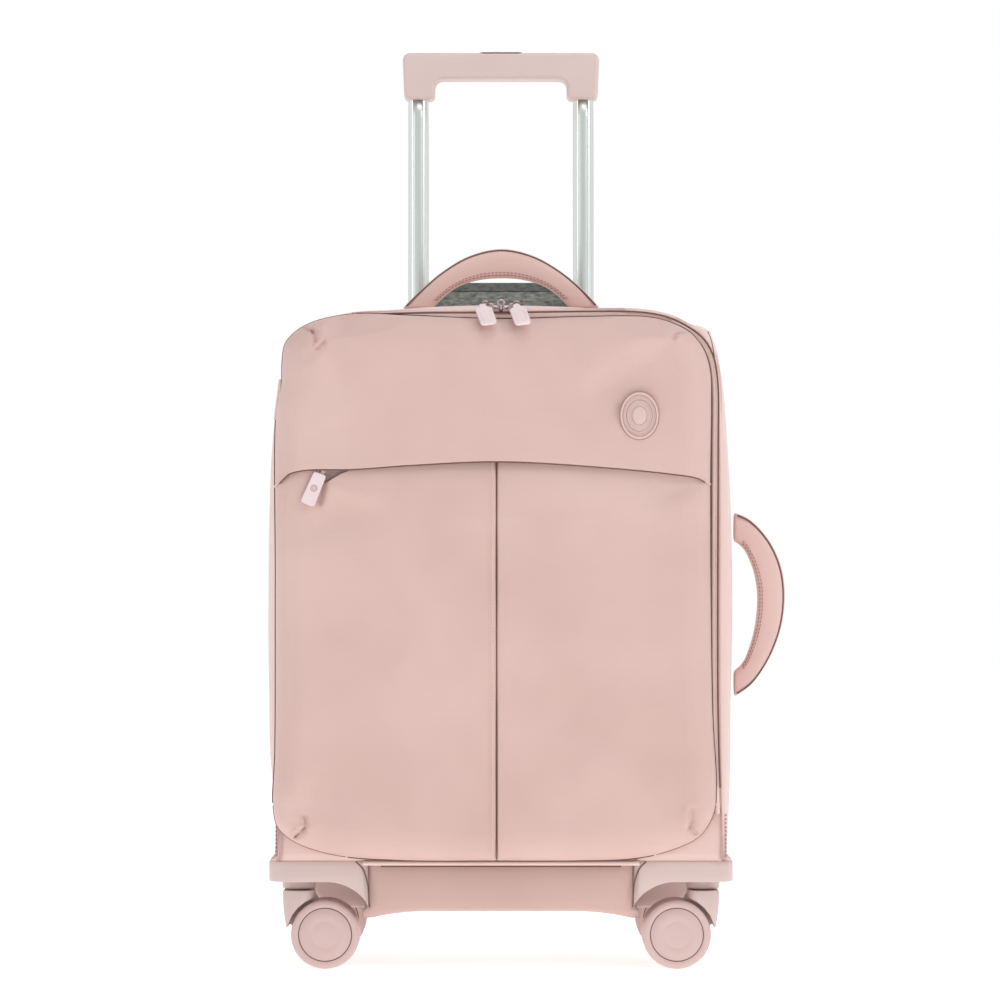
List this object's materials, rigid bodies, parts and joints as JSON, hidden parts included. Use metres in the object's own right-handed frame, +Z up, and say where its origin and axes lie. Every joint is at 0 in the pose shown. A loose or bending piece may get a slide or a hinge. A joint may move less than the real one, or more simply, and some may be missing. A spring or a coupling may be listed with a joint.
{
  "type": "soft-sided cabin suitcase",
  "caption": "Soft-sided cabin suitcase on twin-wheel swivel casters, with a zipped lid, a front pocket, two padded carry handles and a two-stage trolley handle.",
  "frame": {"origin": "bottom centre of the whole suitcase's box, on the floor, side carry handle included", "axes": "+Z up, the zipped lid faces -Y, the side carry handle is on +X"},
  "size_m": [0.4096, 0.2314, 0.727],
  "materials": {
    "fabric": "coated nylon, dusty pink, soft sheen",
    "lining": "thin woven polyester, dusty pink",
    "zip_tape": "woven zip tape and coil, dyed to match",
    "moulded_plastic": "moulded, fine satin grain, dusty pink",
    "wheel": "polyurethane tread on a moulded hub, dusty pink",
    "bezel_plastic": "moulded, mid grey",
    "dark_board": "pressed polypropylene, charcoal",
    "aluminium": "bright anodised tube",
    "steel": "plated steel and die-cast zip parts"
  },
  "bodies": {
    "case": {"left_side_panel": "fabric", "right_side_panel": "fabric", "top_panel": "fabric", "back_panel": "fabric", "base_tray": "dark_board", "front_rim": "fabric", "lining": "lining", "frame_hoop": "steel", "zip_tape_case": "zip_tape", "handle_bezel": "bezel_plastic", "tube_bracket": "dark_board", "outer_tube_left": "aluminium", "outer_tube_right": "aluminium", "caster_housing_front_left": "moulded_plastic", "caster_housing_front_right": "moulded_plastic", "caster_housing_rear_left": "moulded_plastic", "caster_housing_rear_right": "moulded_plastic", "caster_kingpin_front_left": "steel", "caster_kingpin_front_right": "steel", "caster_kingpin_rear_left": "steel", "caster_kingpin_rear_right": "steel"},
    "lid": {"lid_board": "fabric", "zip_tape_lid": "zip_tape", "pocket_panel": "fabric", "pocket_flap": "fabric", "pocket_zip": "zip_tape", "badge": "moulded_plastic"},
    "zip_slider_left": {"zip_slider_left": "steel"},
    "zip_slider_right": {"zip_slider_right": "steel"},
    "zip_puller_left": {"zip_puller_left": "moulded_plastic"},
    "zip_puller_right": {"zip_puller_right": "moulded_plastic"},
    "pocket_slider": {"pocket_zip_slider": "steel"},
    "pocket_puller": {"pocket_zip_puller": "moulded_plastic"},
    "mid_stage": {"mid_tube_left": "aluminium", "mid_tube_right": "aluminium"},
    "handle": {"inner_tube_left": "aluminium", "inner_tube_right": "aluminium", "lock_block_left": "dark_board", "lock_block_right": "dark_board", "grip": "moulded_plastic"},
    "button": {"release_button": "moulded_plastic", "release_rods": "steel"},
    "top_carry_handle": {"top_handle": "fabric"},
    "side_carry_handle": {"side_handle": "fabric"},
    "caster_front_left": {"caster_fork_front_left": "moulded_plastic", "caster_axle_front_left": "steel"},
    "wheel_front_left_outer": {"wheel_front_left_outer": "wheel"},
    "wheel_front_left_inner": {"wheel_front_left_inner": "wheel"},
    "caster_front_right": {"caster_fork_front_right": "moulded_plastic", "caster_axle_front_right": "steel"},
    "wheel_front_right_outer": {"wheel_front_right_outer": "wheel"},
    "wheel_front_right_inner": {"wheel_front_right_inner": "wheel"},
    "caster_rear_left": {"caster_fork_rear_left": "moulded_plastic", "caster_axle_rear_left": "steel"},
    "wheel_rear_left_outer": {"wheel_rear_left_outer": "wheel"},
    "wheel_rear_left_inner": {"wheel_rear_left_inner": "wheel"},
    "caster_rear_right": {"caster_fork_rear_right": "moulded_plastic", "caster_axle_rear_right": "steel"},
    "wheel_rear_right_outer": {"wheel_rear_right_outer": "wheel"},
    "wheel_rear_right_inner": {"wheel_rear_right_inner": "wheel"}
  },
  "joints": [
    {"name": "lid_hinge", "type": "hinge", "parent": "case", "child": "lid", "pos_m": [-0.02275, -0.08526, 0.078], "axis": [1, 0, 0], "range_deg": [0, 100]},
    {"name": "stage_slide", "type": "slide", "parent": "case", "child": "mid_stage", "axis": [0, 0, 1], "range_m": [0, 0.23]},
    {"name": "handle_slide", "type": "slide", "parent": "mid_stage", "child": "handle", "axis": [0, 0, 1], "range_m": [-0.195, 0]},
    {"name": "button_press", "type": "slide", "parent": "handle", "child": "button", "axis": [0, 0, -1], "range_m": [0, 0.004], "stiffness_N_per_m": 400, "springref_m": -0.01},
    {"name": "zip_left_run", "type": "hinge", "parent": "lid", "child": "zip_slider_left", "pos_m": [-0.02275, -0.09096, -0.18], "axis": [0, -1, 0], "range_deg": [0, 7.5]},
    {"name": "zip_right_run", "type": "hinge", "parent": "lid", "child": "zip_slider_right", "pos_m": [-0.02275, -0.09096, -0.18], "axis": [0, 1, 0], "range_deg": [0, 7.5]},
    {"name": "zip_left_pull", "type": "hinge", "parent": "zip_slider_left", "child": "zip_puller_left", "pos_m": [-0.03575, -0.09416, 0.511], "axis": [-1, 0, 0], "range_deg": [0, 45]},
    {"name": "zip_right_pull", "type": "hinge", "parent": "zip_slider_right", "child": "zip_puller_right", "pos_m": [-0.00975, -0.09416, 0.511], "axis": [-1, 0, 0], "range_deg": [0, 45]},
    {"name": "pocket_run", "type": "slide", "parent": "lid", "child": "pocket_slider", "axis": [1, 0, 0], "range_m": [0, 0.267]},
    {"name": "pocket_pull", "type": "hinge", "parent": "pocket_slider", "child": "pocket_puller", "pos_m": [-0.15275, -0.10896, 0.396], "axis": [0, 1, 0], "range_deg": [-60, 23]},
    {"name": "top_handle_tilt", "type": "hinge", "parent": "case", "child": "top_carry_handle", "pos_m": [-0.02275, 0.01604, 0.523], "axis": [1, 0, 0], "range_deg": [-20, 20], "stiffness_Nm_per_rad": 0.3},
    {"name": "side_handle_tilt", "type": "hinge", "parent": "case", "child": "side_carry_handle", "pos_m": [0.16275, 0.01604, 0.279], "axis": [0, 0, 1], "range_deg": [-20, 20], "stiffness_Nm_per_rad": 0.3},
    {"name": "swivel_front_left", "type": "hinge", "parent": "case", "child": "caster_front_left", "pos_m": [-0.17875, -0.05596, 0.058], "axis": [0, 0, 1], "continuous": true},
    {"name": "spin_front_left_outer", "type": "hinge", "parent": "caster_front_left", "child": "wheel_front_left_outer", "pos_m": [-0.15775, -0.06696, 0.0265], "axis": [0, 1, 0], "continuous": true},
    {"name": "spin_front_left_inner", "type": "hinge", "parent": "caster_front_left", "child": "wheel_front_left_inner", "pos_m": [-0.15775, -0.04496, 0.0265], "axis": [0, 1, 0], "continuous": true},
    {"name": "swivel_front_right", "type": "hinge", "parent": "case", "child": "caster_front_right", "pos_m": [0.13325, -0.05596, 0.058], "axis": [0, 0, 1], "continuous": true},
    {"name": "spin_front_right_outer", "type": "hinge", "parent": "caster_front_right", "child": "wheel_front_right_outer", "pos_m": [0.11225, -0.06696, 0.0265], "axis": [0, 1, 0], "continuous": true},
    {"name": "spin_front_right_inner", "type": "hinge", "parent": "caster_front_right", "child": "wheel_front_right_inner", "pos_m": [0.11225, -0.04496, 0.0265], "axis": [0, 1, 0], "continuous": true},
    {"name": "swivel_rear_left", "type": "hinge", "parent": "case", "child": "caster_rear_left", "pos_m": [-0.17875, 0.08804, 0.058], "axis": [0, 0, 1], "continuous": true},
    {"name": "spin_rear_left_outer", "type": "hinge", "parent": "caster_rear_left", "child": "wheel_rear_left_outer", "pos_m": [-0.15775, 0.09904, 0.0265], "axis": [0, 1, 0], "continuous": true},
    {"name": "spin_rear_left_inner", "type": "hinge", "parent": "caster_rear_left", "child": "wheel_rear_left_inner", "pos_m": [-0.15775, 0.07704, 0.0265], "axis": [0, 1, 0], "continuous": true},
    {"name": "swivel_rear_right", "type": "hinge", "parent": "case", "child": "caster_rear_right", "pos_m": [0.13325, 0.08804, 0.058], "axis": [0, 0, 1], "continuous": true},
    {"name": "spin_rear_right_outer", "type": "hinge", "parent": "caster_rear_right", "child": "wheel_rear_right_outer", "pos_m": [0.11225, 0.09904, 0.0265], "axis": [0, 1, 0], "continuous": true},
    {"name": "spin_rear_right_inner", "type": "hinge", "parent": "caster_rear_right", "child": "wheel_rear_right_inner", "pos_m": [0.11225, 0.07704, 0.0265], "axis": [0, 1, 0], "continuous": true}
  ]
}
